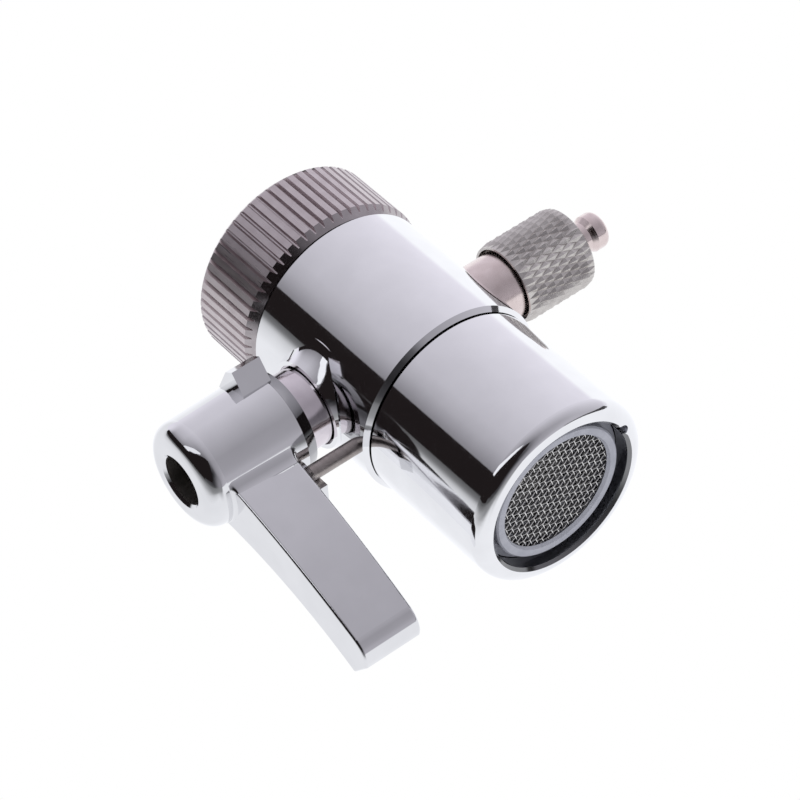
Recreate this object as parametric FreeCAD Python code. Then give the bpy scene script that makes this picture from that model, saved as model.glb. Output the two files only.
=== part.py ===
# Faucet diverter valve: a chromed brass three-way body that screws on a kitchen tap.
# Units are millimetres. +Z is up, towards the tap. The origin is the centre of the swivel
# nut's mouth. -X carries the lever and its plug, +X the small side outlet.
# The water comes down through the nut, meets the turning plug, and leaves either straight
# down through the aerator or sideways through the hose tail.

import FreeCAD, Part
import math
import os

V = FreeCAD.Vector
os.makedirs("parts", exist_ok=True)

# Clearances
THREAD_GAP = 0.05
PLUG_GAP = 0.04
RING_GAP = 0.05
STEM_GAP = 0.1
DRIVE_GAP = 0.06
SQUARE_GAP = 0.05
BORE_GAP = 0.08
NUT_GAP = 0.3
NECK_GAP = 0.25
HUB_GAP = 0.37
PIN_TOUCH = 0.05
TAIL_NUT_GAP = 0.1

# Body
BODY_R = 13.0
BODY_L = 21.0
BODY_TOP_Z = -10.9
BODY_LOW_Z = BODY_TOP_Z - BODY_L
TOP_EDGE = 0.35
STEP_CHAMFER = 0.55
AXIS_DROP = 10.64
AXIS_Z = BODY_TOP_Z - AXIS_DROP

# Swivel nut and the parts that hold it on the body
NUT_OVER = 0.35
NUT_R = BODY_R + NUT_OVER
NUT_BOTTOM_Z = BODY_TOP_Z + NUT_GAP
NUT_RIBS = 60
RIB_DEPTH = 0.55
RIB_CREST = 0.6
RIB_ROOT = 0.12
RIB_TAPER_H = 1.15
RIB_END_Z = NUT_BOTTOM_Z + RIB_TAPER_H
RIB_TAPER_IN = 0.9
NUT_LOW_R = NUT_R - RIB_TAPER_IN
NUT_TOP_CHAMFER = 0.6
NUT_WALL = 2.45
INLET_THREAD_R = NUT_R - NUT_WALL
RELIEF_DEPTH = 0.4
RELIEF_R = INLET_THREAD_R + RELIEF_DEPTH
LEDGE_T = 2.0
NUT_LEDGE_Z = NUT_BOTTOM_Z + LEDGE_T
FLANGE_IN = 0.4
FLANGE_R = INLET_THREAD_R - FLANGE_IN
FLANGE_T = 1.3
FLANGE_TOP_Z = NUT_LEDGE_Z + NUT_GAP + FLANGE_T
FLANGE_STEP = 2.1
NECK_R = FLANGE_R - FLANGE_STEP
NUT_LIP_R = NECK_R + NECK_GAP
SEAT_DEPTH = 1.25
BUSH_SEAT_Z = BODY_TOP_Z - SEAT_DEPTH
BUSH_SEAL_T = 0.8
SEAT_W = 1.2
BUSH_THREAD_R = NECK_R - SEAT_W
BUSH_SEAL_IN_R = BUSH_THREAD_R + BORE_GAP
BUSH_THREAD_L = 2.85
BUSH_END_Z = BUSH_SEAT_Z - BUSH_THREAD_L
BUSH_WALL = 2.0
INLET_R = BUSH_THREAD_R - BUSH_WALL
SLOT_W = 2.0
SLOT_DEPTH = 0.9
SLOT_REACH = 2.4
SLOT_R = INLET_R + SLOT_REACH
WASHER_OUT_R = FLANGE_R - BORE_GAP
WASHER_W = 4.0
WASHER_IN_R = WASHER_OUT_R - WASHER_W
WASHER_T = 1.6

# Boss on the body and the bonnet screwed in it
STEM_R = 3.1
BONNET_R = 5.08
BONNET_THREAD_DEPTH = 0.25
BONNET_THREAD_R = BONNET_R + BONNET_THREAD_DEPTH
BOSS_RISE = 0.3
BOSS_END_X = -BODY_R - BOSS_RISE
BOSS_WALL = 0.57
BOSS_R = BONNET_THREAD_R + BOSS_WALL
# The boss flares into the body by an arc. Its middle and foot are (length, growth in radius).
BOSS_MID = (1.3, 0.6)
BOSS_FOOT = (3.1, 2.3)
BONNET_THREAD_L = 4.55
BONNET_IN_X = BOSS_END_X + BONNET_THREAD_L
BONNET_SINK = 1.1
BONNET_FACE_X = BOSS_END_X + BONNET_SINK
BONNET_OUT_L = 4.2
BONNET_END_X = BOSS_END_X - BONNET_OUT_L
BONNET_BORE_R = STEM_R + STEM_GAP
BONNET_EDGE = 0.3
FLATS_DEPTH = 0.48
FLATS_W = 2 * (BONNET_R - FLATS_DEPTH)
FLATS_L = 0.6
FLATS_X = BONNET_END_X + FLATS_L

# Side outlet's seat on the body
SPOT_DEPTH = 0.8
SPOT_X = BODY_R - SPOT_DEPTH
SPOT_R = 4.7

# Cross bore, sleeve and plug
SLEEVE_STEP = 0.33
SLEEVE_OUT_R = BONNET_THREAD_R - SLEEVE_STEP
SLEEVE_WALL = 0.9
SLEEVE_IN_R = SLEEVE_OUT_R - SLEEVE_WALL
SLEEVE_PLAY = 0.15
SLEEVE_X0 = BONNET_IN_X + SLEEVE_PLAY
END_WALL = 4.0
SLEEVE_X1 = SPOT_X - END_WALL
THRUST_T = 0.36
THRUST_GAP = 0.03
PLUG_X0 = BONNET_IN_X + THRUST_T + 3 * THRUST_GAP
PLUG_PLAY = 0.2
PLUG_X1 = SLEEVE_X1 - PLUG_PLAY
PORT_X = 2.9
PORT_R = 2.0
ORING_INSET = 2.55
ORING_X = BONNET_IN_X - ORING_INSET
ORING_WIRE_R = 0.45
ORING_GROOVE_W = 1.3
ORING_GROOVE_R = BONNET_BORE_R - 2 * (ORING_WIRE_R + RING_GAP)

# Lever: hub, blade and the two stop lugs cast in one piece
HUB_LAP = 0.85
HUB_IN_X = BONNET_END_X + HUB_LAP
HUB_L = 15.25
HUB_END_X = HUB_IN_X - HUB_L
HUB_SHOULDER_R = 7.1
HUB_SHOULDER = (1.6, 0.7)
HUB_TAPER = (2.6, 0.25)
HUB_ROUND_MID = (0.68, 0.9)
HUB_ROUND_IN = 2.5
SOCKET_R = 3.25
SOCKET_EDGE = 0.35
SOCKET_DEPTH = 7.9
SOCKET_X = HUB_END_X + SOCKET_DEPTH
DRIVE_L = 4.4
DRIVE_X = SOCKET_X + DRIVE_L
DRIVE_FLATS = 4.4
RECESS_R = BONNET_R + HUB_GAP
RECESS_X = BONNET_END_X - NUT_GAP
STEM_BORE_R = STEM_R + DRIVE_GAP
STEM_SHORT = 0.3
STEM_END_X = SOCKET_X + STEM_SHORT
BLADE_INSET = 2.9
BLADE_W = 8.75
BLADE_X0 = HUB_END_X + BLADE_INSET
BLADE_X1 = BLADE_X0 + BLADE_W
BLADE_NARROW = 0.35
BLADE_EDGE = 0.35
BLADE_REACH = 31.0
ROOT_MARGIN = 0.5
# The blade's side view, y and z from the hub's axis: front face, end and back face.
BLADE_FRONT_ROOT = (-2.7, -4.0)
BLADE_FRONT_MID = (0.95, -16.8)
BLADE_FRONT_TIP = (5.6, -28.2)
BLADE_END_MID = (7.3, -29.8)
BLADE_END_LOW = (9.2, -29.9)
BLADE_BACK_TIP = (11.9, -27.6)
BLADE_BACK_MID = (7.8, -17.0)
BLADE_BACK_ROOT = (5.6, -3.6)
# The upper stop lug's section: distance out from the hub's skin and height over its axis.
LUG_L = 4.0
LUG_INSET = 10.1
LUG_X1 = HUB_END_X + LUG_INSET
LUG_X0 = LUG_X1 + LUG_L
LUG_SECTION = [(-2.1, 5.2), (1.65, 3.45), (2.6, 2.1), (0.15, 0.16), (-3.1, 0.5)]
# The lower stop lug stands behind the pin. It reaches out past the hub's skin.
LOW_LUG_INSET = 2.05
LOW_LUG_X0 = HUB_IN_X - LOW_LUG_INSET
LOW_LUG_BACK_Y = 4.4
LOW_LUG_ROOT = 2.6
LOW_LUG_OUT = 3.8
LUG_SINK = 1.0

# Stop pin
PIN_R = 0.97
PIN_OUT = 1.9
PIN_DROP = HUB_SHOULDER_R + PIN_OUT
PIN_EDGE = 0.25
PIN_LAP = 3.3
PIN_TIP_X = HUB_IN_X - PIN_LAP
PIN_DEPTH = 2.8
PIN_ROOT_X = -BODY_R + PIN_DEPTH

# Lever screw and its washer
SCREW_R = 1.48
SCREW_HEAD_W = 1.17
SCREW_HEAD_R = SCREW_R + SCREW_HEAD_W
SCREW_HEAD_T = 1.9
SCREW_DOME_T = 0.9
SCREW_DOME_MID = (0.2, 0.45)
SCREW_DOME_IN = 1.2
SCREW_HOLE_L = 8.2
SCREW_HOLE_END_X = STEM_END_X + SCREW_HOLE_L
SCREW_SHORT = 0.5
SCREW_END_X = SCREW_HOLE_END_X - SCREW_SHORT
SCREW_WASHER_T = 0.5
SCREW_WASHER_OVER = 0.15
SCREW_WASHER_OUT_R = SCREW_HEAD_R + SCREW_WASHER_OVER
SCREW_WASHER_IN_R = SCREW_R + STEM_GAP
SCREW_SLOT_W = 0.7
SCREW_SLOT_DEPTH = 0.9
SCREW_SLOT_RIM = 0.8
SCREW_SLOT_REACH = SCREW_HEAD_R - SCREW_SLOT_RIM

# Lower housing and the aerator in it
HOUSING_IN = 0.58
HOUSING_R = BODY_R - HOUSING_IN
GROOVE_H = 0.35
HOUSING_TOP_Z = BODY_LOW_Z - STEP_CHAMFER - GROOVE_H
HOUSING_END_Z = -52.65
LIP_ROUND = 1.75
LIP_FLAT = 0.22
MOUTH_EDGE = 0.35
HOUSING_WALL = 1.62
SPIGOT_R = HOUSING_R - HOUSING_WALL
SPIGOT_L = 6.8
SPIGOT_END_Z = BODY_LOW_Z - SPIGOT_L
SPIGOT_WALL = 2.8
CHAMBER_R = SPIGOT_R - SPIGOT_WALL
CHAMBER_RISE = 1.9
CHAMBER_TOP_Z = BODY_LOW_Z + CHAMBER_RISE
SHOULDER_W = 0.75
HOUSING_BORE_R = SPIGOT_R - SHOULDER_W
KEY_AZIMUTH = -27.8
KEY_R = 0.95
KEY_DEPTH = 1.45
AERATOR_SEAL_T = 1.2
AERATOR_SEAL_W = 2.3
INSERT_FLANGE_T = 1.1
INSERT_FLANGE_R = SPIGOT_R - BORE_GAP
AERATOR_SEAL_IN_R = INSERT_FLANGE_R - AERATOR_SEAL_W
HOUSING_SHOULDER_Z = SPIGOT_END_Z - AERATOR_SEAL_T - INSERT_FLANGE_T
INSERT_R = HOUSING_BORE_R - BORE_GAP
INSERT_SINK = 0.95
INSERT_FACE_Z = HOUSING_END_Z + INSERT_SINK
NOSE_STEP = 0.9
INSERT_NOSE_R = INSERT_R - NOSE_STEP
INSERT_NOSE_L = 1.5
INSERT_CHAMFER = 0.2
INSERT_WALL = 0.5
MESH_RIM_R = INSERT_NOSE_R - INSERT_WALL
INSERT_LIP_W = 0.82
INSERT_LIP_R = MESH_RIM_R - INSERT_LIP_W
INSERT_BEVEL = 0.25
INSERT_MOUTH_R = INSERT_LIP_R + INSERT_BEVEL
INSERT_LIP_T = 0.4
INSERT_LIP_Z = INSERT_FACE_Z + INSERT_LIP_T
MESH_T = 0.5
MESH_STEP = 1.45
MESH_BAR = 0.45
MESH_MELD = 0.05
MESH_LAP = 0.3
MESH_TURN = -14.6
FLOW_DISC_DROP = 3.0
FLOW_DISC_Z = HOUSING_SHOULDER_Z - FLOW_DISC_DROP
FLOW_DISC_T = 1.2
FLOW_HOLE_R = 0.45
FLOW_RINGS = 3
FLOW_MARGIN = 1.15
FLOW_RING_STEP = (INSERT_LIP_R - FLOW_MARGIN) / FLOW_RINGS
FLOW_RING_HOLES = 6

# Hose tail. Lengths run out from its seat on the body.
TAIL_THREAD_R = 3.55
TAIL_SHANK_L = 3.6
TAIL_IN_X = SPOT_X - TAIL_SHANK_L
TAIL_HOLE_R = 2.2
TAIL_BORE_R = 1.5
TAIL_SEAL_W = 0.7
TAIL_SEAL_R = TAIL_THREAD_R + TAIL_SEAL_W
TAIL_SEAL_L = 1.1
TAIL_SEAL_X = SPOT_X - TAIL_SEAL_L
TAIL_R = 4.47
TAIL_COLLAR_L = 5.4
TAIL_COLLAR_X = SPOT_X + TAIL_COLLAR_L
TAIL_NUT_THREAD_DEPTH = 0.47
TAIL_NUT_THREAD_R = TAIL_R - TAIL_NUT_THREAD_DEPTH
TAIL_NUT_THREAD_L = 6.6
TAIL_CONE_X = TAIL_COLLAR_X + TAIL_NUT_THREAD_L
TAIL_CONE_L = 1.4
TAIL_CONE_END_X = TAIL_CONE_X + TAIL_CONE_L
NECK_TAIL_R = 2.0
NECK_L = 4.1
NECK_END_X = TAIL_CONE_END_X + NECK_L
BARB_RISE = 0.42
BARB_R = NECK_TAIL_R + BARB_RISE
BARB_TAPER_L = 0.7
BARB_X = NECK_END_X + BARB_TAPER_L
BARB_LAND_L = 1.1
BARB_LAND_X = BARB_X + BARB_LAND_L
# The barb's rounded end: an arc by its middle and end, as (length, drop in radius).
BARB_ROUND_MID = (0.55, 0.22)
BARB_ROUND_END = (0.8, 0.67)

# Knurled nut on the tail
COMP_INSET = 4.77
COMP_L = 10.43
COMP_X0 = SPOT_X + COMP_INSET
COMP_X1 = COMP_X0 + COMP_L
COMP_R = 5.5
COMP_KNURL_DEPTH = 0.28
COMP_AROUND = 36
COMP_ROWS = 8
COMP_LOW_EDGE = 0.2
COMP_EDGE = 0.7
COMP_EDGE_IN = 0.6
COMP_BORE_R = TAIL_NUT_THREAD_R + TAIL_NUT_GAP
COMP_MOUTH_GAP = 0.43
COMP_MOUTH_R = TAIL_R + COMP_MOUTH_GAP
COMP_MOUTH_L = 1.13
COMP_END_T = 1.3
COMP_TUBE_STEP = 0.88
COMP_TUBE_R = BARB_R + COMP_TUBE_STEP


def closed_face(path, place):
    """Face inside a closed path. A two-part entry is a line's end; a four-part entry is an
    arc through its first point to its second."""
    edges = []
    here = place(*path[0])
    first = here
    for entry in path[1:]:
        end = place(*entry[-2:])
        if len(entry) == 4:
            middle = place(*entry[:2])
            edges.append(Part.Arc(here, middle, end).toShape())
        else:
            edges.append(Part.makeLine(here, end))
        here = end
    if (here - first).Length > 1e-6:
        edges.append(Part.makeLine(here, first))
    return Part.Face(Part.Wire(edges))


def turned_z(path):
    """Solid turned about the body's axis. Each entry is (radius, z)."""
    face = closed_face(path, lambda r, z: V(r, 0, z))
    return face.revolve(V(0, 0, 0), V(0, 0, 1), 360)


def turned_x(path):
    """Solid turned about the cross axis. Each entry is (x, radius)."""
    face = closed_face(path, lambda x, r: V(x, 0, AXIS_Z + r))
    return face.revolve(V(0, 0, AXIS_Z), V(1, 0, 0), 360)


def rod_z(radius, z_low, z_high, x=0, y=0):
    return Part.makeCylinder(radius, z_high - z_low, V(x, y, z_low), V(0, 0, 1))


def rod_x(radius, x_low, x_high, y=0, z=AXIS_Z):
    return Part.makeCylinder(radius, x_high - x_low, V(x_low, y, z), V(1, 0, 0))


def block(x0, x1, y0, y1, z0, z1):
    return Part.makeBox(x1 - x0, y1 - y0, z1 - z0, V(x0, y0, z0))


def cross_section(path, x0, x1):
    """Prism along X. The path is in y and z measured from the cross axis."""
    face = closed_face(path, lambda y, z: V(x0, y, AXIS_Z + z))
    return face.extrude(V(x1 - x0, 0, 0))


def ring_x(x, major, minor):
    return Part.makeTorus(major, minor, V(x, 0, AXIS_Z), V(1, 0, 0))


def swivel_nut():
    """Ribbed nut: a prism with one flat-topped rib per pitch, trimmed by a turned envelope."""
    pitch = 2 * math.pi / NUT_RIBS
    corners = []
    for rib in range(NUT_RIBS):
        middle = rib * pitch
        steps = [(-0.5 + RIB_ROOT / 2, NUT_R - RIB_DEPTH), (-RIB_CREST / 2, NUT_R),
                 (RIB_CREST / 2, NUT_R), (0.5 - RIB_ROOT / 2, NUT_R - RIB_DEPTH)]
        for share, radius in steps:
            angle = middle + share * pitch
            corners.append(V(radius * math.cos(angle), radius * math.sin(angle), NUT_BOTTOM_Z))
    corners.append(corners[0])
    prism = Part.Face(Part.makePolygon(corners)).extrude(V(0, 0, -NUT_BOTTOM_Z))
    envelope = turned_z([(0, 0), (NUT_R - NUT_TOP_CHAMFER, 0), (NUT_R, -NUT_TOP_CHAMFER),
                         (NUT_R, RIB_END_Z), (NUT_LOW_R, NUT_BOTTOM_Z), (0, NUT_BOTTOM_Z)])
    thread_end_z = FLANGE_TOP_Z + WASHER_T
    bore = turned_z([(0, 0), (INLET_THREAD_R, 0), (INLET_THREAD_R, thread_end_z),
                     (RELIEF_R, thread_end_z), (RELIEF_R, NUT_LEDGE_Z), (NUT_LIP_R, NUT_LEDGE_Z),
                     (NUT_LIP_R, NUT_BOTTOM_Z), (0, NUT_BOTTOM_Z)])
    return prism.common(envelope).cut(bore)


def inlet_washer():
    outer = rod_z(WASHER_OUT_R, FLANGE_TOP_Z, FLANGE_TOP_Z + WASHER_T)
    return outer.cut(rod_z(WASHER_IN_R, FLANGE_TOP_Z, FLANGE_TOP_Z + WASHER_T))


def retaining_bush():
    """Flanged sleeve screwed in the body. Its flange carries the nut and the tap's washer."""
    low_flange = FLANGE_TOP_Z - FLANGE_T
    shoulder = BUSH_SEAT_Z + BUSH_SEAL_T
    bush = turned_z([(INLET_R, FLANGE_TOP_Z), (FLANGE_R, FLANGE_TOP_Z), (FLANGE_R, low_flange),
                     (NECK_R, low_flange), (NECK_R, shoulder), (BUSH_THREAD_R, shoulder),
                     (BUSH_THREAD_R, BUSH_END_Z), (INLET_R, BUSH_END_Z)])
    slot = block(-SLOT_R, SLOT_R, -SLOT_W / 2, SLOT_W / 2, FLANGE_TOP_Z - SLOT_DEPTH, FLANGE_TOP_Z)
    return bush.cut(slot)


def bush_seal():
    top = BUSH_SEAT_Z + BUSH_SEAL_T
    outer = rod_z(NECK_R - BORE_GAP, BUSH_SEAT_Z, top)
    return outer.cut(rod_z(BUSH_SEAL_IN_R, BUSH_SEAT_Z, top))


def valve_body():
    """Barrel, boss and threaded spigot in one casting, with the crossing bores cut through."""
    step_z = BODY_LOW_Z - STEP_CHAMFER
    barrel = turned_z([(0, BODY_TOP_Z), (BODY_R - TOP_EDGE, BODY_TOP_Z),
                       (BODY_R, BODY_TOP_Z - TOP_EDGE), (BODY_R, BODY_LOW_Z),
                       (BODY_R - STEP_CHAMFER, step_z), (SPIGOT_R, step_z),
                       (SPIGOT_R, SPIGOT_END_Z), (0, SPIGOT_END_Z)])
    foot_r = BOSS_R + BOSS_FOOT[1]
    boss = turned_x([(0, 0), (BOSS_END_X, 0), (BOSS_END_X, BOSS_R),
                     (BOSS_END_X + BOSS_MID[0], BOSS_R + BOSS_MID[1],
                      BOSS_END_X + BOSS_FOOT[0], foot_r), (0, foot_r)])
    body = barrel.fuse(boss)
    inlet = turned_z([(0, BODY_TOP_Z), (NECK_R, BODY_TOP_Z), (NECK_R, BUSH_SEAT_Z),
                      (BUSH_THREAD_R, BUSH_SEAT_Z), (BUSH_THREAD_R, BUSH_END_Z),
                      (INLET_R, BUSH_END_Z), (INLET_R, AXIS_Z), (0, AXIS_Z)])
    chamber = rod_z(CHAMBER_R, SPIGOT_END_Z, CHAMBER_TOP_Z)
    outlet = rod_z(PORT_R, CHAMBER_TOP_Z, AXIS_Z, x=-PORT_X)
    cross = turned_x([(BOSS_END_X, 0), (BOSS_END_X, BONNET_THREAD_R),
                      (BONNET_IN_X, BONNET_THREAD_R), (BONNET_IN_X, SLEEVE_OUT_R),
                      (SLEEVE_X1, SLEEVE_OUT_R), (SLEEVE_X1, TAIL_HOLE_R),
                      (TAIL_IN_X, TAIL_HOLE_R), (TAIL_IN_X, TAIL_THREAD_R),
                      (TAIL_SEAL_X, TAIL_THREAD_R), (TAIL_SEAL_X, TAIL_SEAL_R),
                      (SPOT_X, TAIL_SEAL_R), (SPOT_X, SPOT_R), (BODY_R, SPOT_R), (BODY_R, 0)])
    pin_hole = rod_x(PIN_R, -BODY_R, PIN_ROOT_X, z=AXIS_Z - PIN_DROP)
    for hole in (inlet, chamber, outlet, cross, pin_hole):
        body = body.cut(hole)
    return body


def core_sleeve():
    """Plastic liner that the plug turns in, with two holes above and one below."""
    sleeve = rod_x(SLEEVE_OUT_R, SLEEVE_X0, SLEEVE_X1).cut(rod_x(SLEEVE_IN_R, SLEEVE_X0, SLEEVE_X1))
    top = AXIS_Z + SLEEVE_OUT_R
    holes = [rod_z(PORT_R, AXIS_Z, top, x=-PORT_X), rod_z(PORT_R, AXIS_Z, top, x=PORT_X),
             rod_z(PORT_R, AXIS_Z - SLEEVE_OUT_R, AXIS_Z, x=-PORT_X)]
    for hole in holes:
        sleeve = sleeve.cut(hole)
    return sleeve


def diverter_core():
    """Plug and stem in one piece. One port runs straight down through the plug. A quarter
    turn away, a second port joins a bore along the axis and feeds the side outlet."""
    plug_r = SLEEVE_IN_R - PLUG_GAP
    groove_0 = ORING_X - ORING_GROOVE_W / 2
    groove_1 = ORING_X + ORING_GROOVE_W / 2
    core = turned_x([(PLUG_X1, 0), (PLUG_X1, plug_r), (PLUG_X0, plug_r), (PLUG_X0, STEM_R),
                     (groove_1, STEM_R), (groove_1, ORING_GROOVE_R), (groove_0, ORING_GROOVE_R),
                     (groove_0, STEM_R), (STEM_END_X, STEM_R), (STEM_END_X, 0)])
    half = DRIVE_FLATS / 2
    collar = block(STEM_END_X, DRIVE_X, -STEM_R, STEM_R, AXIS_Z - STEM_R, AXIS_Z + STEM_R)
    square = block(STEM_END_X, DRIVE_X, -half, half, AXIS_Z - half, AXIS_Z + half)
    core = core.cut(collar.cut(square))
    core = core.cut(rod_z(PORT_R, AXIS_Z - plug_r, AXIS_Z + plug_r, x=-PORT_X))
    side_port = Part.makeCylinder(PORT_R, plug_r, V(PORT_X, 0, AXIS_Z), V(0, 1, 0))
    core = core.cut(side_port)
    core = core.cut(rod_x(PORT_R, PORT_X, PLUG_X1))
    return core.cut(rod_x(SCREW_R, STEM_END_X, SCREW_HOLE_END_X))


def thrust_washer():
    x0 = BONNET_IN_X + THRUST_GAP
    outer = rod_x(SLEEVE_IN_R - BORE_GAP, x0, x0 + THRUST_T)
    return outer.cut(rod_x(BONNET_BORE_R, x0, x0 + THRUST_T))


def stem_oring():
    return ring_x(ORING_X, ORING_GROOVE_R + ORING_WIRE_R + RING_GAP, ORING_WIRE_R)


def bonnet():
    """Screwed gland round the stem. Two flats near its outer end take a spanner."""
    gland = turned_x([(BONNET_IN_X, BONNET_BORE_R), (BONNET_IN_X, BONNET_THREAD_R),
                      (BONNET_FACE_X, BONNET_THREAD_R), (BONNET_FACE_X, BONNET_R),
                      (BONNET_END_X + BONNET_EDGE, BONNET_R), (BONNET_END_X, BONNET_R - BONNET_EDGE),
                      (BONNET_END_X, BONNET_BORE_R)])
    for side in (-1, 1):
        y0, y1 = sorted((side * FLATS_W / 2, side * BONNET_THREAD_R))
        gland = gland.cut(block(BONNET_END_X, FLATS_X, y0, y1,
                                AXIS_Z - BONNET_THREAD_R, AXIS_Z + BONNET_THREAD_R))
    return gland


def lever_blade():
    """Curved blade: its side view as a prism, trimmed by its front view."""
    side = cross_section([BLADE_FRONT_ROOT, BLADE_FRONT_MID + BLADE_FRONT_TIP,
                          BLADE_END_MID + BLADE_END_LOW, BLADE_BACK_TIP,
                          BLADE_BACK_MID + BLADE_BACK_ROOT], BLADE_X0, BLADE_X1)
    low_z = AXIS_Z - BLADE_REACH
    high_z = AXIS_Z
    tip_x0 = BLADE_X0 + BLADE_NARROW
    tip_x1 = BLADE_X1 - BLADE_NARROW
    front = closed_face([(BLADE_X0, high_z), (tip_x0, low_z), (tip_x1, low_z), (BLADE_X1, high_z)],
                        lambda x, z: V(x, -HUB_SHOULDER_R, z))
    front = front.extrude(V(0, 4 * HUB_SHOULDER_R, 0))
    blade = side.common(front)
    root_z = AXIS_Z + BLADE_BACK_ROOT[1] - ROOT_MARGIN
    long_edges = [edge for edge in blade.Edges if edge.BoundBox.ZMin < root_z]
    return blade.makeFillet(BLADE_EDGE, long_edges)


def lever():
    """Hub, blade and both stop lugs."""
    hub = turned_x([(HUB_IN_X, 0), (HUB_IN_X, HUB_SHOULDER_R - HUB_SHOULDER[1]),
                    (HUB_IN_X - HUB_SHOULDER[0], HUB_SHOULDER_R),
                    (HUB_END_X + HUB_TAPER[0], HUB_SHOULDER_R - HUB_TAPER[1]),
                    (HUB_END_X + HUB_ROUND_MID[0], HUB_SHOULDER_R - HUB_ROUND_MID[1],
                     HUB_END_X, HUB_SHOULDER_R - HUB_ROUND_IN), (HUB_END_X, 0)])
    upper_lug = cross_section([(-HUB_SHOULDER_R - out, up) for out, up in LUG_SECTION],
                              LUG_X1, LUG_X0)
    lower_lug = block(BLADE_X1 - LUG_SINK, LOW_LUG_X0, PIN_R + PIN_TOUCH, LOW_LUG_BACK_Y,
                      AXIS_Z - HUB_SHOULDER_R - LOW_LUG_OUT, AXIS_Z - HUB_SHOULDER_R + LOW_LUG_ROOT)
    solid = hub.fuse([lever_blade(), upper_lug, lower_lug]).removeSplitter()
    socket = turned_x([(HUB_END_X, 0), (HUB_END_X, SOCKET_R + SOCKET_EDGE),
                       (HUB_END_X + SOCKET_EDGE, SOCKET_R), (SOCKET_X, SOCKET_R), (SOCKET_X, 0)])
    recess = turned_x([(HUB_IN_X, 0), (HUB_IN_X, RECESS_R), (RECESS_X, RECESS_R),
                       (RECESS_X, STEM_BORE_R), (DRIVE_X, STEM_BORE_R), (DRIVE_X, 0)])
    half = DRIVE_FLATS / 2 + SQUARE_GAP
    square = block(SOCKET_X, DRIVE_X, -half, half, AXIS_Z - half, AXIS_Z + half)
    for hole in (socket, recess, square):
        solid = solid.cut(hole)
    return solid


def stop_pin():
    pin_z = AXIS_Z - PIN_DROP
    pin = turned_x([(PIN_ROOT_X, 0), (PIN_ROOT_X, PIN_R), (PIN_TIP_X + PIN_EDGE, PIN_R),
                    (PIN_TIP_X, PIN_R - PIN_EDGE), (PIN_TIP_X, 0)])
    pin.translate(V(0, 0, pin_z - AXIS_Z))
    return pin


def screw_washer():
    x1 = SOCKET_X
    x0 = x1 - SCREW_WASHER_T
    return rod_x(SCREW_WASHER_OUT_R, x0, x1).cut(rod_x(SCREW_WASHER_IN_R, x0, x1))


def lever_screw():
    """Pan-head screw with a crossed slot."""
    seat = SOCKET_X - SCREW_WASHER_T
    top = seat - SCREW_HEAD_T
    dome_x = top + SCREW_DOME_MID[0]
    dome_r = SCREW_HEAD_R - SCREW_DOME_MID[1]
    screw = turned_x([(SCREW_END_X, 0), (SCREW_END_X, SCREW_R), (seat, SCREW_R),
                      (seat, SCREW_HEAD_R), (top + SCREW_DOME_T, SCREW_HEAD_R),
                      (dome_x, dome_r, top, SCREW_HEAD_R - SCREW_DOME_IN), (top, 0)])
    half = SCREW_SLOT_W / 2
    for wide, tall in ((SCREW_SLOT_REACH, half), (half, SCREW_SLOT_REACH)):
        screw = screw.cut(block(top, top + SCREW_SLOT_DEPTH, -wide, wide,
                                AXIS_Z - tall, AXIS_Z + tall))
    return screw


def aerator_housing():
    """Lower housing: a threaded cup whose mouth is rolled to a rounded lip."""
    bore_r = SPIGOT_R + THREAD_GAP
    face_r = HOUSING_R - LIP_ROUND
    inset = LIP_ROUND * (1 - math.sqrt(0.5))
    housing = turned_z([(bore_r, HOUSING_TOP_Z), (HOUSING_R, HOUSING_TOP_Z),
                        (HOUSING_R, HOUSING_END_Z + LIP_ROUND),
                        (HOUSING_R - inset, HOUSING_END_Z + inset, face_r, HOUSING_END_Z),
                        (face_r - LIP_FLAT, HOUSING_END_Z),
                        (HOUSING_BORE_R, HOUSING_END_Z + MOUTH_EDGE),
                        (HOUSING_BORE_R, HOUSING_SHOULDER_Z), (bore_r, HOUSING_SHOULDER_Z)])
    angle = math.radians(KEY_AZIMUTH)
    notch = rod_z(KEY_R, HOUSING_END_Z, HOUSING_END_Z + KEY_DEPTH,
                  x=HOUSING_BORE_R * math.cos(angle), y=HOUSING_BORE_R * math.sin(angle))
    return housing.cut(notch)


def aerator_seal():
    low = HOUSING_SHOULDER_Z + INSERT_FLANGE_T
    high = low + AERATOR_SEAL_T
    return rod_z(INSERT_FLANGE_R, low, high).cut(rod_z(AERATOR_SEAL_IN_R, low, high))


def aerator_insert():
    """Plastic cartridge. Its flange hangs on the housing's shoulder, its nose is narrower than
    the bore, and its lip holds the mesh."""
    top = HOUSING_SHOULDER_Z + INSERT_FLANGE_T
    nose_z = INSERT_FACE_Z + INSERT_NOSE_L
    return turned_z([(MESH_RIM_R, top), (INSERT_FLANGE_R, top),
                     (INSERT_FLANGE_R, HOUSING_SHOULDER_Z), (INSERT_R, HOUSING_SHOULDER_Z),
                     (INSERT_R, nose_z), (INSERT_NOSE_R, nose_z),
                     (INSERT_NOSE_R, INSERT_FACE_Z + INSERT_CHAMFER),
                     (INSERT_NOSE_R - INSERT_CHAMFER, INSERT_FACE_Z), (INSERT_MOUTH_R, INSERT_FACE_Z),
                     (INSERT_LIP_R, INSERT_LIP_Z), (MESH_RIM_R, INSERT_LIP_Z)])


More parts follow.
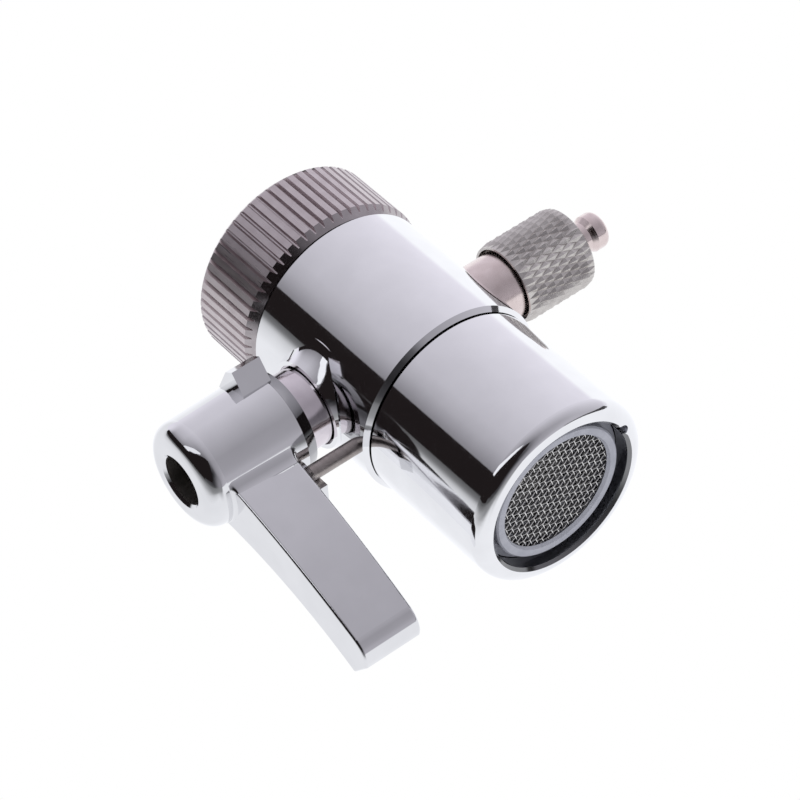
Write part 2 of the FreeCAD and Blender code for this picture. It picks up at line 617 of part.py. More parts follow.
def aerator_mesh():
    """Woven screen as two crossed layers of bars in a flat rim."""
    low = INSERT_LIP_Z
    middle = low + MESH_T / 2
    rim = rod_z(MESH_RIM_R - RING_GAP, low, low + MESH_T)
    rim = rim.cut(rod_z(INSERT_LIP_R - MESH_LAP, low, low + MESH_T))
    half_bar = MESH_BAR / 2
    bars = []
    count = int(INSERT_LIP_R / MESH_STEP)
    for number in range(-count, count + 1):
        across = number * MESH_STEP
        reach = math.sqrt(INSERT_LIP_R ** 2 - across ** 2)
        bars.append(block(-reach, reach, across - half_bar, across + half_bar,
                          low, middle + MESH_MELD))
        bars.append(block(across - half_bar, across + half_bar, -reach, reach,
                          middle - MESH_MELD, low + MESH_T))
    screen = rim.fuse(bars).removeSplitter()
    screen.rotate(V(0, 0, 0), V(0, 0, 1), MESH_TURN)
    return screen


def flow_disc():
    """Perforated disc that breaks the jet above the screen."""
    disc = rod_z(MESH_RIM_R, FLOW_DISC_Z, FLOW_DISC_Z + FLOW_DISC_T)
    holes = []
    for ring in range(1, FLOW_RINGS + 1):
        radius = ring * FLOW_RING_STEP
        count = ring * FLOW_RING_HOLES
        for number in range(count):
            angle = 2 * math.pi * number / count
            holes.append(rod_z(FLOW_HOLE_R, FLOW_DISC_Z, FLOW_DISC_Z + FLOW_DISC_T,
                               x=radius * math.cos(angle), y=radius * math.sin(angle)))
    return disc.cut(holes)


def outlet_tail():
    """Hose tail turned from one bar: threaded shank, collar, nut thread, cone and barb."""
    end_x = BARB_LAND_X + BARB_ROUND_END[0]
    return turned_x([(TAIL_IN_X, TAIL_BORE_R), (TAIL_IN_X, TAIL_THREAD_R),
                     (SPOT_X, TAIL_THREAD_R), (SPOT_X, TAIL_R), (TAIL_COLLAR_X, TAIL_R),
                     (TAIL_COLLAR_X + TAIL_NUT_THREAD_DEPTH, TAIL_NUT_THREAD_R),
                     (TAIL_CONE_X, TAIL_NUT_THREAD_R),
                     (TAIL_CONE_END_X, NECK_TAIL_R), (NECK_END_X, NECK_TAIL_R), (BARB_X, BARB_R),
                     (BARB_LAND_X, BARB_R),
                     (BARB_LAND_X + BARB_ROUND_MID[0], BARB_R - BARB_ROUND_MID[1],
                      end_x, BARB_R - BARB_ROUND_END[1]), (end_x, TAIL_BORE_R)])


def tail_oring():
    wire_r = (TAIL_SEAL_R - TAIL_THREAD_R) / 2 - RING_GAP
    return ring_x((TAIL_SEAL_X + SPOT_X) / 2, (TAIL_SEAL_R + TAIL_THREAD_R) / 2, wire_r)


def knurled_drum():
    """Closed drum covered in four-sided points. The lattice runs in rows along X and half
    steps round it. Each point rises from its four valley corners, and the next row is
    shifted by half a step."""
    valley_r = COMP_R - COMP_KNURL_DEPTH
    pitch = (COMP_X1 - COMP_X0) / COMP_ROWS

    def corner(row, half_step, radius):
        angle = math.pi * half_step / COMP_AROUND
        return V(COMP_X0 + pitch * row, radius * math.cos(angle), AXIS_Z + radius * math.sin(angle))

    def flat(*corners):
        return Part.Face(Part.makePolygon(list(corners) + [corners[0]]))

    faces = []
    for row in range(1, COMP_ROWS):
        shift = row % 2
        for middle in range(shift, 2 * COMP_AROUND, 2):
            peak = corner(row, middle, COMP_R)
            around = [corner(row - 1, middle, valley_r), corner(row, middle + 1, valley_r),
                      corner(row + 1, middle, valley_r), corner(row, middle - 1, valley_r)]
            for number in range(4):
                faces.append(flat(peak, around[number], around[(number + 1) % 4]))
    for row, inner in ((0, 1), (COMP_ROWS, COMP_ROWS - 1)):
        rim = []
        for middle in range(inner % 2, 2 * COMP_AROUND, 2):
            rim.append(corner(row, middle, valley_r))
            faces.append(flat(corner(row, middle, valley_r), corner(row, middle + 2, valley_r),
                              corner(inner, middle + 1, valley_r)))
        faces.append(flat(*rim))
    return Part.Solid(Part.makeShell(faces))


def compression_nut():
    """Hand nut with a diamond knurl, a bevelled outer end and a hole for the tube."""
    over_r = COMP_R + COMP_KNURL_DEPTH
    envelope = turned_x([(COMP_X0, 0), (COMP_X0, COMP_R - COMP_LOW_EDGE),
                         (COMP_X0 + COMP_LOW_EDGE, over_r), (COMP_X1 - COMP_EDGE, over_r),
                         (COMP_X1, COMP_R - COMP_EDGE_IN), (COMP_X1, 0)])
    mouth_x = COMP_X0 + COMP_MOUTH_L
    end_x = COMP_X1 - COMP_END_T
    bore = turned_x([(COMP_X0, 0), (COMP_X0, COMP_MOUTH_R), (mouth_x, COMP_MOUTH_R),
                     (mouth_x + COMP_MOUTH_R - COMP_BORE_R, COMP_BORE_R), (end_x, COMP_BORE_R),
                     (end_x, COMP_TUBE_R), (COMP_X1, COMP_TUBE_R), (COMP_X1, 0)])
    return knurled_drum().common(envelope).cut(bore)


PIECES = {
    "swivel_nut": swivel_nut,
    "inlet_washer": inlet_washer,
    "retaining_bush": retaining_bush,
    "bush_seal": bush_seal,
    "valve_body": valve_body,
    "core_sleeve": core_sleeve,
    "diverter_core": diverter_core,
    "thrust_washer": thrust_washer,
    "stem_oring": stem_oring,
    "bonnet": bonnet,
    "lever": lever,
    "stop_pin": stop_pin,
    "screw_washer": screw_washer,
    "lever_screw": lever_screw,
    "aerator_housing": aerator_housing,
    "aerator_seal": aerator_seal,
    "aerator_insert": aerator_insert,
    "aerator_mesh": aerator_mesh,
    "flow_disc": flow_disc,
    "outlet_tail": outlet_tail,
    "tail_oring": tail_oring,
    "compression_nut": compression_nut,
}

for name, make in PIECES.items():
    make().exportStep("parts/" + name + ".step")
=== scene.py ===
import math

import bpy
import numpy as np
from mathutils import Matrix, Vector


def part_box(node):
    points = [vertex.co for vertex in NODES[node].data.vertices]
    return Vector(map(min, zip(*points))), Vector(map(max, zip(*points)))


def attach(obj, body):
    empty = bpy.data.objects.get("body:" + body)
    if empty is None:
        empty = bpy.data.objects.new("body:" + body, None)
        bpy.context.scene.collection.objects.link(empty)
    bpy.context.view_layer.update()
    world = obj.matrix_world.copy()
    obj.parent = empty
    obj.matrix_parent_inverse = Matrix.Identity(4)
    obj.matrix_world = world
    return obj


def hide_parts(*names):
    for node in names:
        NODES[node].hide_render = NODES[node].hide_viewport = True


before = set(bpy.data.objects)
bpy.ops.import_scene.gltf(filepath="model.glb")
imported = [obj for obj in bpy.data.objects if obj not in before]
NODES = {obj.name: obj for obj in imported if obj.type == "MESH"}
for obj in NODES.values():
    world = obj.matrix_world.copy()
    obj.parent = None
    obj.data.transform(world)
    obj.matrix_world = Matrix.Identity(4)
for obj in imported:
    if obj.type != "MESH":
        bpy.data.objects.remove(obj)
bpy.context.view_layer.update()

MM = 0.001

AXIS_Z = -21.54 * MM

# Camera: the photograph's place and lens, worked out from its ellipses and outlines.
CAMERA_PLACE = Vector((-0.170641, -0.299999, -0.259450))
CAMERA_RIGHT = Vector((0.77959475, 0.04944448, -0.62432945))
CAMERA_UP = Vector((0.48046816, -0.68665663, 0.54557586))
CAMERA_BACK = Vector((-0.40172424, -0.7252985, -0.55907041))
LENS_MM = 157.57
CLIP_NEAR = 0.01
CLIP_FAR = 20.0
FLOOR_Z = -0.45
FLOOR_HALF = 3.0
FLOOR_COLOUR = (0.93, 0.93, 0.94, 1)
FLOOR_ROUGH = 0.9


def make_camera():
    data = bpy.data.cameras.new("photo_camera")
    data.lens = LENS_MM
    data.sensor_width = 36.0
    data.clip_start = CLIP_NEAR
    data.clip_end = CLIP_FAR
    camera = bpy.data.objects.new("photo_camera", data)
    turn = Matrix((CAMERA_RIGHT, CAMERA_UP, CAMERA_BACK)).transposed().to_4x4()
    camera.matrix_world = Matrix.Translation(CAMERA_PLACE) @ turn
    bpy.context.scene.collection.objects.link(camera)
    bpy.context.scene.camera = camera


def link_nodes(tree, kind, inputs=(), **settings):
    """Adds a node. Each input is (socket, value or another node's output)."""
    node = tree.nodes.new(kind)
    for name, value in settings.items():
        setattr(node, name, value)
    for socket, value in dict(inputs).items():
        if isinstance(value, bpy.types.NodeSocket):
            tree.links.new(value, node.inputs[socket])
        else:
            node.inputs[socket].default_value = value
    return node


def set_ramp(ramp, stops):
    ramp.interpolation = "LINEAR"
    while len(ramp.elements) > 1:
        ramp.elements.remove(ramp.elements[-1])
    for number, (place, colour) in enumerate(stops):
        element = ramp.elements[0] if number == 0 else ramp.elements.new(place)
        element.position = place
        element.color = (*colour, 1.0)


# The tent is a sphere round the part that only reflections see. Its upper half as (azimuth in
# degrees, level): a card that fades from dark grey to white, then a white wall that falls off into
# the dark corner beside the card.
WALL = [(-180, 0.12), (-176, 0.10), (-150, 0.24), (-145, 0.28), (-128, 0.45), (-112, 0.55),
        (-79, 0.64), (-47, 0.73), (-15, 0.82), (-5, 0.86), (2, 1.03), (60, 1.04), (87, 0.97),
        (100, 0.89), (148, 0.87), (157, 0.80), (163, 0.74), (169, 0.62), (172, 0.42), (175, 0.20),
        (180, 0.12)]
# The lower half as (azimuth in degrees, level). It is dark where the camera stands.
UNDER = [(-180, 0.10), (-172, 0.05), (-150, 0.02), (-124, 0.02), (-104, 0.09), (-90, 0.25),
         (-79, 0.33), (-53, 0.385), (-30, 0.465), (-5, 0.48), (3, 0.92), (140, 0.90), (151, 0.75),
         (163, 0.30), (177, 0.20), (180, 0.10)]
TOP_LEVEL = 0.86
BOTTOM_LEVEL = 0.29
# The upper half turns into the lower one from this elevation down, over this many degrees.
FALL_TOP = 34
FALL_SPAN = 70
# Green and blue beside red on the white wall, and how much they change on the card.
WALL_GREEN, CARD_GREEN = 1.012, 0.036
WALL_BLUE, CARD_BLUE = 1.05, 0.025
TENT_R = 2.6
TENT_STEP = 2
FAR_CARD_R, MIDDLE_CARD_R, NEAR_CARD_R = 2.2, 2.15, 2.1
BLACK = (0.014, 0.011, 0.0115)
WHITE = (0.93, 0.94, 0.99)
DARK = (0.06, 0.058, 0.062)


def ease(start, end, value):
    """Smooth rise from 0 at start to 1 at end."""
    t = min(1.0, max(0.0, (value - start) / (end - start)))
    return t * t * (3 - 2 * t)


def tent_level(azimuth, elevation):
    """Brightness of the tent in one direction."""
    wall = np.interp(azimuth, *zip(*WALL))
    under = np.interp(azimuth, *zip(*UNDER))
    far_side = ease(-100, -60, azimuth) * ease(150, 90, azimuth)
    under += (BOTTOM_LEVEL - under) * ease(-52, -80, elevation) * (1 - far_side)
    wall += (TOP_LEVEL - wall) * ease(60, 80, elevation)
    fall = min(1.0, max(0.0, (FALL_TOP - elevation) / FALL_SPAN))
    return wall + (under - wall) * fall


def on_card(azimuth):
    """1 on the grey card, 0 on the white wall."""
    return ease(-178, -172, azimuth) * (1 - ease(-5, 2, azimuth))


def glow_material(name, colour=None):
    material = bpy.data.materials.new(name)
    material.use_nodes = True
    material.cycles.emission_sampling = "NONE"
    tree = material.node_tree
    tree.nodes.clear()
    glow = link_nodes(tree, "ShaderNodeEmission", {"Strength": 1.0})
    if colour:
        glow.inputs["Color"].default_value = (*colour, 1)
    else:
        paint = link_nodes(tree, "ShaderNodeVertexColor", layer_name="level")
        tree.links.new(paint.outputs["Color"], glow.inputs["Color"])
    link_nodes(tree, "ShaderNodeOutputMaterial", {"Surface": glow.outputs[0]})
    return material


def stage_mesh(name, points, faces, material):
    """A part of the studio that only reflections see."""
    mesh = bpy.data.meshes.new(name)
    mesh.from_pydata(points, [], faces)
    mesh.materials.append(material)
    thing = bpy.data.objects.new(name, mesh)
    bpy.context.scene.collection.objects.link(thing)
    thing.visible_camera = False
    thing.visible_shadow = False
    thing.visible_diffuse = False
    thing.visible_transmission = False
    return mesh


def sphere_point(azimuth, elevation, radius):
    a, e = math.radians(azimuth), math.radians(elevation)
    return (radius * math.cos(a) * math.cos(e), radius * math.sin(a) * math.cos(e),
            radius * math.sin(e) + AXIS_Z)


def make_tent():
    azimuths = np.arange(-180, 180 + TENT_STEP, TENT_STEP)
    elevations = np.arange(-90, 90 + TENT_STEP, TENT_STEP)
    points = [sphere_point(a, e, TENT_R) for e in elevations for a in azimuths]
    wide = len(azimuths)
    faces = [(r * wide + c, r * wide + c + 1, (r + 1) * wide + c + 1, (r + 1) * wide + c)
             for r in range(len(elevations) - 1) for c in range(wide - 1)]
    mesh = stage_mesh("tent", points, faces, glow_material("tent"))
    paint = mesh.color_attributes.new("level", "FLOAT_COLOR", "POINT")
    number = 0
    for e in elevations:
        for a in azimuths:
            v = tent_level(float(a), float(e))
            grey = on_card(float(a))
            green = v * (WALL_GREEN - CARD_GREEN * grey)
            blue = v * (WALL_BLUE + CARD_BLUE * grey)
            paint.data[number].color = (v, green, blue, 1)
            number += 1


def make_card(name, outline, colour, radius):
    """A card in the tent. The outline is (azimuth, elevation)."""
    points = [sphere_point(a, e, radius) for a, e in outline]
    stage_mesh(name, points, [tuple(range(len(outline)))], glow_material(name, colour))


def make_cards():
    """Black band, the dark shape of the camera's stand, a white gap and a dark slit."""
    band = [(-148.8, 75), (-148.8, 12), (-149, -20), (-178, -20), (-178, 20), (-179, 75)]
    make_card("black_card", band, BLACK, FAR_CARD_R)
    camera = [(-148.8, 14), (-143, 11), (-133, 1), (-124, -8), (-112, -16), (-102, -25), (-98, -31),
              (-102, -38), (-112, -45), (-126, -50), (-150, -53), (-165, -50), (-174, -20)]
    make_card("black_camera", camera, BLACK, MIDDLE_CARD_R)
    gap = [(-148.8, 27), (-141, 25), (-124, 12.5), (-113, 1), (-106, -12), (-112, -12.5),
           (-124, -5.5), (-133, 3), (-143, 13), (-148.8, 16)]
    make_card("white_gap", gap, WHITE, NEAR_CARD_R)
    slit = [(-5, -12), (-2, -9.5), (1, -12), (2.5, -25), (1.5, -45), (-2, -62), (-10, -62), (-7, -45),
            (-5.5, -25)]
    make_card("dark_slit", slit, DARK, MIDDLE_CARD_R)


def make_world():
    """Even white light for diffuse surfaces and a white backdrop."""
    world = bpy.data.worlds.new("studio")
    bpy.context.scene.world = world
    world.use_nodes = True
    backdrop = world.node_tree.nodes["Background"]
    backdrop.inputs["Color"].default_value = (1, 1, 1, 1)
    backdrop.inputs["Strength"].default_value = 1.0


def make_floor():
    mesh = bpy.data.meshes.new("floor")
    corners = [(x * FLOOR_HALF, y * FLOOR_HALF, FLOOR_Z)
               for x, y in ((-1, -1), (1, -1), (1, 1), (-1, 1))]
    mesh.from_pydata(corners, [], [(0, 1, 2, 3)])
    floor = bpy.data.objects.new("floor", mesh)
    bpy.context.scene.collection.objects.link(floor)
    material = bpy.data.materials.new("floor_paper")
    material.use_nodes = True
    shader = material.node_tree.nodes["Principled BSDF"]
    shader.inputs["Base Color"].default_value = FLOOR_COLOUR
    shader.inputs["Roughness"].default_value = FLOOR_ROUGH
    floor.data.materials.append(material)
    floor.visible_glossy = False


NOISE_LOW, NOISE_HIGH = 0.3, 0.7
CHROME_DARK = (0.97, 0.97, 0.985)
CHROME_LIGHT = (1.02, 1.02, 1.035)
CHROME_SPREAD = 0.05


class Finish:
    """A Principled material built node by node in the object's own coordinates, in metres."""

    def __init__(self, name, **constants):
        self.material = bpy.data.materials.new(name)
        self.material.use_nodes = True
        self.tree = self.material.node_tree
        self.shader = self.tree.nodes["Principled BSDF"]
        for socket, value in constants.items():
            self.shader.inputs[socket.replace("_", " ")].default_value = value
        self.place = self.add("ShaderNodeTexCoord").outputs["Object"]

    def add(self, kind, inputs=(), **settings):
        return link_nodes(self.tree, kind, inputs, **settings)

    def stretch(self, x, y, z):
        return self.add("ShaderNodeMapping", {"Vector": self.place, "Scale": (x, y, z)}).outputs[0]

    def noise(self, scale, detail=2.0, rough=0.5, vector=None):
        node = self.add("ShaderNodeTexNoise", {"Vector": vector or self.place, "Scale": scale,
                                               "Detail": detail, "Roughness": rough})
        return node.outputs["Fac"]

    def span(self, value, low, high):
        node = self.add("ShaderNodeMapRange", {"Value": value, "From Min": NOISE_LOW,
                                               "From Max": NOISE_HIGH, "To Min": low, "To Max": high})
        return node.outputs[0]

    def tint(self, value, dark, light):
        node = self.add("ShaderNodeValToRGB", {"Fac": value})
        set_ramp(node.color_ramp, [(NOISE_LOW, dark), (NOISE_HIGH, light)])
        self.tree.links.new(node.outputs[0], self.shader.inputs["Base Color"])

    def rough(self, value):
        self.tree.links.new(value, self.shader.inputs["Roughness"])

    def bump(self, height, distance):
        node = self.add("ShaderNodeBump", {"Height": height, "Distance": distance, "Strength": 1.0})
        old = self.shader.inputs["Normal"]
        if old.is_linked:
            self.tree.links.new(old.links[0].from_socket, node.inputs["Normal"])
        self.tree.links.new(node.outputs[0], old)


def chrome(name, grey=0.9, shine=0.035, wobble=0.0000015):
    """Polished plate with faint clouding, uneven gloss and a slight wave."""
    f = Finish(name, Metallic=1.0)
    f.tint(f.noise(260, 3), [grey * part for part in CHROME_DARK],
           [grey * part for part in CHROME_LIGHT])
    f.rough(f.span(f.noise(900, 5, 0.65), shine, shine + CHROME_SPREAD))
    f.bump(f.noise(420, 1.0), wobble)
    f.bump(f.noise(9000, 2.0), 0.0000002)
    return f.material


def satin(name, dark, light, low, high, grain, depth):
    """Satin metal with fine turning or drawing marks. The grain is a per-axis scale."""
    f = Finish(name, Metallic=1.0)
    marks = f.noise(1.0, 3, 0.6, f.stretch(*grain))
    f.tint(f.noise(700, 4), dark, light)
    f.rough(f.span(marks, low, high))
    f.bump(marks, depth)
    f.bump(f.noise(6000, 2), depth * 0.4)
    return f.material


def plastic(name, dark, light, low, high, depth):
    f = Finish(name)
    f.tint(f.noise(900, 4), dark, light)
    f.rough(f.span(f.noise(2500, 3), low, high))
    f.bump(f.noise(7000, 3), depth)
    return f.material


def make_materials():
    return {
        "chrome_plate": chrome("chrome_plate"),
        "lever_chrome": chrome("lever_chrome", 0.82, 0.03, 0.000003),
        # Painted shade: darkened chrome for the aerator's bore.
        "painted_shade_bore": chrome("painted_shade_bore", 0.22, 0.10),
        # Painted shade: darkened chrome for the faces of the lever's hub that face the body.
        "hub_painted_shade": chrome("hub_painted_shade", 0.45, 0.05),
        # Painted shade: dark grey for the inside of the lever's screw socket.
        "socket_painted_shade": satin("socket_painted_shade", (0.20, 0.185, 0.17), (0.28, 0.26, 0.24), 0.45, 0.6,
                             (3000, 3000, 3000), 0.000004),
        "satin_nickel": satin("satin_nickel", (0.58, 0.52, 0.53), (0.66, 0.60, 0.61), 0.26, 0.40,
                              (9000, 9000, 300), 0.000003),
        # The nut's downward faces: a glossier finish, with a darker tint that is painted shade.
        "nut_underside_painted_shade": satin("nut_underside_painted_shade", (0.44, 0.40, 0.41), (0.52, 0.48, 0.49), 0.16, 0.24,
                          (3000, 3000, 9000), 0.0000015),
        "bonnet_nickel": satin("bonnet_nickel", (0.72, 0.66, 0.70), (0.78, 0.72, 0.76), 0.10, 0.17,
                               (9000, 500, 500), 0.0000012),
        "tail_nickel": satin("tail_nickel", (0.74, 0.63, 0.61), (0.83, 0.72, 0.70), 0.16, 0.26,
                             (9000, 500, 500), 0.0000015),
        "knurled_nickel": satin("knurled_nickel", (0.54, 0.51, 0.49), (0.68, 0.65, 0.62), 0.20, 0.34,
                                (2200, 5200, 5200), 0.000012),
        # Painted shade: near-black wires for the screen's back layer.
        "screen_painted_shade": satin("screen_painted_shade", (0.10, 0.10, 0.10), (0.17, 0.165, 0.16), 0.3, 0.45,
                             (5000, 5000, 5000), 0.000002),
        "plain_brass": satin("plain_brass", (0.62, 0.45, 0.22), (0.74, 0.56, 0.30), 0.25, 0.4,
                             (2000, 2000, 6000), 0.000004),
        "pin_steel": satin("pin_steel", (0.34, 0.30, 0.285), (0.47, 0.43, 0.41), 0.28, 0.45,
                           (6000, 900, 900), 0.000005),
        "plain_steel": satin("plain_steel", (0.26, 0.24, 0.22), (0.34, 0.315, 0.29), 0.35, 0.5,
                             (3000, 3000, 3000), 0.000004),
        "woven_steel": satin("woven_steel", (0.62, 0.61, 0.60), (0.80, 0.79, 0.77), 0.18, 0.3,
                             (5000, 5000, 5000), 0.000002),
        "grey_plastic": plastic("grey_plastic", (0.35, 0.36, 0.42), (0.42, 0.43, 0.49), 0.38, 0.5,
                                0.000004),
        "white_plastic": plastic("white_plastic", (0.66, 0.66, 0.64), (0.74, 0.74, 0.72), 0.35, 0.5,
                                 0.000004),
        "black_rubber": plastic("black_rubber", (0.012, 0.012, 0.013), (0.022, 0.022, 0.023), 0.5, 0.7,
                                0.000008),
    }


NODE_FINISH = {
    "swivel_nut": "satin_nickel", "inlet_washer": "black_rubber", "retaining_bush": "plain_brass",
    "bush_seal": "black_rubber", "valve_body": "chrome_plate", "core_sleeve": "white_plastic",
    "diverter_core": "plain_brass", "thrust_washer": "white_plastic", "stem_oring": "black_rubber",
    "bonnet": "bonnet_nickel", "lever": "lever_chrome", "stop_pin": "pin_steel",
    "screw_washer": "plain_steel", "lever_screw": "plain_steel", "aerator_housing": "chrome_plate",
    "aerator_seal": "black_rubber", "aerator_insert": "grey_plastic", "aerator_mesh": "woven_steel",
    "flow_disc": "white_plastic", "outlet_tail": "tail_nickel", "tail_oring": "black_rubber",
    "compression_nut": "knurled_nickel",
}


def off_x(place):
    """Distance from the lever's axis."""
    return math.hypot(place.y, place.z - AXIS_Z)


def off_z(place):
    """Distance from the body's axis."""
    return math.hypot(place.x, place.y)


FACING_DOWN = -0.3
FACING_BODY = 0.2
SOCKET_REACH = 3.35 * MM
HUB_REACH = 7.2 * MM
HUB_INNER_X = -19 * MM
BORE_REACH = 10.4 * MM
# Faces of a node that get a darker second finish as painted shade: (node, finish, test of the face's
# middle and normal).
PAINTED_SHADE_FACES = [
    ("swivel_nut", "nut_underside_painted_shade", lambda place, normal: normal.z < FACING_DOWN),
    ("lever", "socket_painted_shade", lambda place, normal: off_x(place) < SOCKET_REACH),
    ("lever", "hub_painted_shade", lambda place, normal: normal.x > FACING_BODY
     and off_x(place) < HUB_REACH and place.x > HUB_INNER_X),
    ("aerator_housing", "painted_shade_bore", lambda place, normal: off_z(place) < BORE_REACH),
]


def dress_nodes(materials):
    for node, finish in NODE_FINISH.items():
        mesh = NODES[node].data
        mesh.materials.clear()
        mesh.materials.append(materials[finish])
    for node, finish, test in PAINTED_SHADE_FACES:
        mesh = NODES[node].data
        mesh.materials.append(materials[finish])
        for face in mesh.polygons:
            if face.material_index == 0 and test(face.center, face.normal):
                face.material_index = len(mesh.materials) - 1


# The lever's blade where it leaves the hub, in mm from the lever's axis: arcs of its front and
# back faces as three (y, z) points, its width along X, and the hub's radius at two X.
BLADE_FRONT = ((-2.7, -4.0), (0.95, -16.8), (5.6, -28.2))
BLADE_BACK = ((11.9, -27.6), (7.8, -17.0), (5.6, -3.6))
BLADE_X = (-28.92, -20.33)
BLADE_ROUND = 0.35
HUB_TAPER = ((-29.3, -18.25), (6.85, 7.1))
HUB_R = 7.0
# The blend's width on the front and back, its width at the sides, and how far it is let into the
# lever at its edges and at its root, in mm.
BLEND_WIDE = 1.4
BLEND_SIDE = 0.55
SINK = 0.012
ROOT_IN = 0.3
BLEND_STEPS = 10
CORNER_STEPS = 8
SIDE_PARTS = 12

WEAVE_PITCH = 0.75 * MM
WEAVE_TURN = math.radians(-14.6)
WIRE_R = 0.085 * MM
WIRE_SIDES = 6
WIRE_STEPS = 6
BACK_LAYER_UP = 0.55 * MM


def new_piece(name, points, faces, material, body):
    mesh = bpy.data.meshes.new(name)
    mesh.from_pydata(points, [], faces)
    mesh.materials.append(material)
    mesh.shade_smooth()
    piece = bpy.data.objects.new(name, mesh)
    bpy.context.scene.collection.objects.link(piece)
    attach(piece, body)
    return piece


def add_tube(points, faces, line, radius, sides):
    """Adds a closed round tube along a line of points to the lists."""
    line = np.asarray(line, float)
    ahead = np.gradient(line, axis=0)
    ahead /= np.linalg.norm(ahead, axis=1)[:, None]
    flat = np.cross(ahead, (0, 0, 1))
    flat /= np.linalg.norm(flat, axis=1)[:, None]
    rise = np.cross(flat, ahead)
    start = len(points)
    for here, f, r in zip(line, flat, rise):
        for side in range(sides):
            turn = 2 * math.pi * side / sides
            points.append(tuple(here + radius * (f * math.cos(turn) + r * math.sin(turn))))
    for ring in range(len(line) - 1):
        base = start + ring * sides
        for side in range(sides):
            after = (side + 1) % sides
            faces.append((base + side, base + after, base + sides + after, base + sides + side))
    last = start + (len(line) - 1) * sides
    faces.append(tuple(start + side for side in reversed(range(sides))))
    faces.append(tuple(last + side for side in range(sides)))


def weave(points, faces, reach, middle, turned):
    """Adds one plain weave of crimped wires."""
    count = int(reach / WEAVE_PITCH)
    for family in (0, 1):
        turn = turned + family * math.pi / 2
        along = np.array((math.cos(turn), math.sin(turn), 0))
        across = np.array((-math.sin(turn), math.cos(turn), 0))
        sign = -1 if family else 1
        for wire in range(-count, count + 1):
            offset = wire * WEAVE_PITCH
            half = math.sqrt(reach ** 2 - offset ** 2)
            steps = int(half / WEAVE_PITCH * WIRE_STEPS)
            line = []
            for step in range(-steps, steps + 1):
                s = step * WEAVE_PITCH / WIRE_STEPS
                lift = sign * WIRE_R * math.cos(math.pi * (s / WEAVE_PITCH + wire))
                line.append(along * s + across * offset + np.array((0, 0, middle + lift)))
            if len(line) > 2:
                add_tube(points, faces, line, WIRE_R, WIRE_SIDES)


def woven_screen(materials):
    """Two woven layers in place of the source's flat grid. The upper one is near-black: painted shade
    behind the lower one.
    """
    low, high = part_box("aerator_mesh")
    reach = (high.x - low.x) / 2 - WIRE_R
    middle = (low.z + high.z) / 2
    points, faces = [], []
    weave(points, faces, reach, middle, WEAVE_TURN)
    bright = len(faces)
    weave(points, faces, reach, middle + BACK_LAYER_UP, WEAVE_TURN + math.pi / 4)
    piece = new_piece("woven_screen", points, faces, materials["woven_steel"], "valve")
    piece.data.materials.append(materials["screen_painted_shade"])
    # The upper layer's near-black wires are painted shade.
    for face in piece.data.polygons[bright:]:
        face.material_index = 1
    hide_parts("aerator_mesh")


def circle_through(a, b, c):
    """Centre and radius of the circle through three points."""
    rows = np.array([(b[0] - a[0], b[1] - a[1]), (c[0] - a[0], c[1] - a[1])], float)
    sides = np.array([(b[0] ** 2 - a[0] ** 2 + b[1] ** 2 - a[1] ** 2) / 2,
                      (c[0] ** 2 - a[0] ** 2 + c[1] ** 2 - a[1] ** 2) / 2])
    centre = np.linalg.solve(rows, sides)
    return centre, math.dist(centre, a)


def blade_meets_hub(arc):
    """Y of the point where a face of the blade leaves the hub, and the face's slope dy/dz there."""
    (cy, cz), radius = circle_through(*arc)
    z = np.linspace(-8, -2, 6001)
    y = cy - np.sqrt(radius ** 2 - (z - cz) ** 2)
    nearest = np.argmin(abs(np.hypot(y, z) - HUB_R))
    return y[nearest], -(z[nearest] - cz) / (y[nearest] - cy)


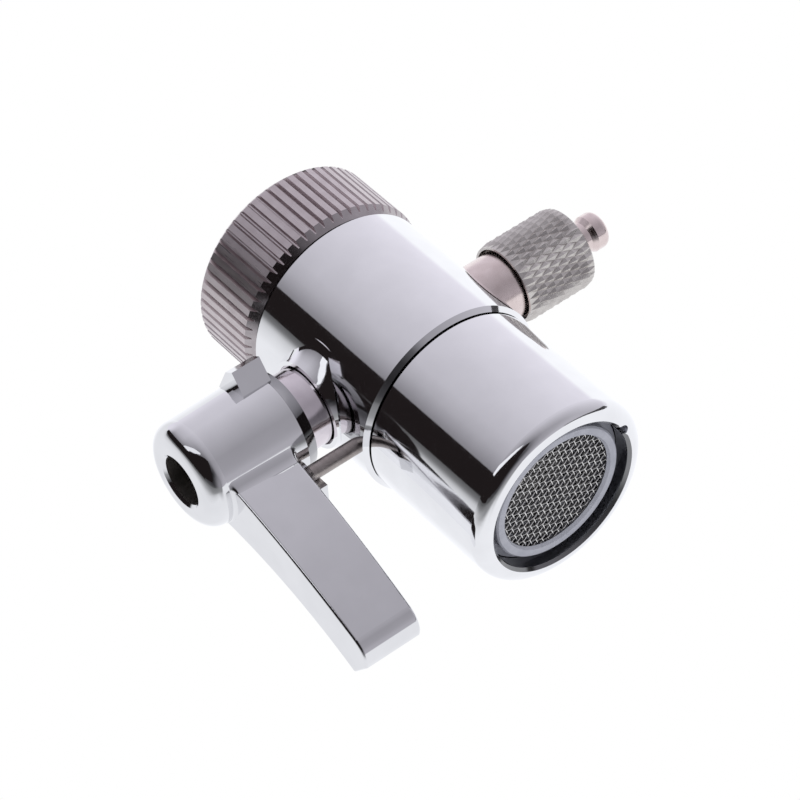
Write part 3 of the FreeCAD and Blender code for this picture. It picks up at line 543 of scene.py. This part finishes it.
def rounded_loop(x0, x1, y0, y1, radius):
    """Outline of a rounded rectangle as (x, y, outward x, outward y)."""
    loop = []
    for cx, cy, start in ((x1 - radius, y1 - radius, 0), (x0 + radius, y1 - radius, 90),
                          (x0 + radius, y0 + radius, 180), (x1 - radius, y0 + radius, 270)):
        for step in range(CORNER_STEPS + 1):
            turn = math.radians(start + 90 * step / CORNER_STEPS)
            loop.append((cx + radius * math.cos(turn), cy + radius * math.sin(turn),
                         math.cos(turn), math.sin(turn)))
    full = []
    for here, after in zip(loop, loop[1:] + loop[:1]):
        full.append(here)
        if math.dist(here[:2], after[:2]) > 2 * radius:
            full += [tuple(np.array(here) + (np.array(after) - np.array(here)) * part / SIDE_PARTS)
                     for part in range(1, SIDE_PARTS)]
    return full


def lever_blend(materials):
    """Hollow blend between the lever's hub and its blade, all around the joint."""
    front, front_slope = blade_meets_hub(BLADE_FRONT)
    back, back_slope = blade_meets_hub(BLADE_BACK)
    points, faces = [], []
    loop = rounded_loop(*BLADE_X, front, back, BLADE_ROUND)
    for x, y, nx, ny in loop:
        radius = np.interp(x, *HUB_TAPER)
        joint = np.array((x, y, -math.sqrt(radius ** 2 - y ** 2)))
        skin = np.array((0, joint[1], joint[2])) / radius
        side = np.array((nx, ny, 0))
        away = side - side.dot(skin) * skin
        away /= np.linalg.norm(away)
        share = (y - front) / (back - front)
        down = np.array((0, -(front_slope + (back_slope - front_slope) * share), -1.0))
        down /= np.linalg.norm(down)
        wide = BLEND_SIDE + (BLEND_WIDE - BLEND_SIDE) * ny ** 2
        on_hub = joint + away * wide
        on_hub[1:] *= (np.interp(on_hub[0], *HUB_TAPER) - SINK) / np.linalg.norm(on_hub[1:])
        on_blade = joint + down * wide - side * SINK
        for step in range(BLEND_STEPS + 1):
            s = step / BLEND_STEPS
            points.append((1 - s) ** 2 * on_hub + 2 * s * (1 - s) * joint + s * s * on_blade)
        points.append(joint - ROOT_IN * side - ROOT_IN * skin)
    wide = BLEND_STEPS + 2
    count = len(loop)
    for row in range(count):
        after = (row + 1) % count
        for column in range(wide):
            beside = (column + 1) % wide
            faces.append((row * wide + column, row * wide + beside,
                          after * wide + beside, after * wide + column))
    points = [(x * MM, y * MM, z * MM + AXIS_Z) for x, y, z in points]
    new_piece("lever_blend", points, faces, materials["lever_chrome"], "handle")


bpy.context.scene.view_settings.view_transform = "Standard"
make_camera()
make_world()
make_floor()
make_tent()
make_cards()
materials = make_materials()
dress_nodes(materials)
woven_screen(materials)
lever_blend(materials)
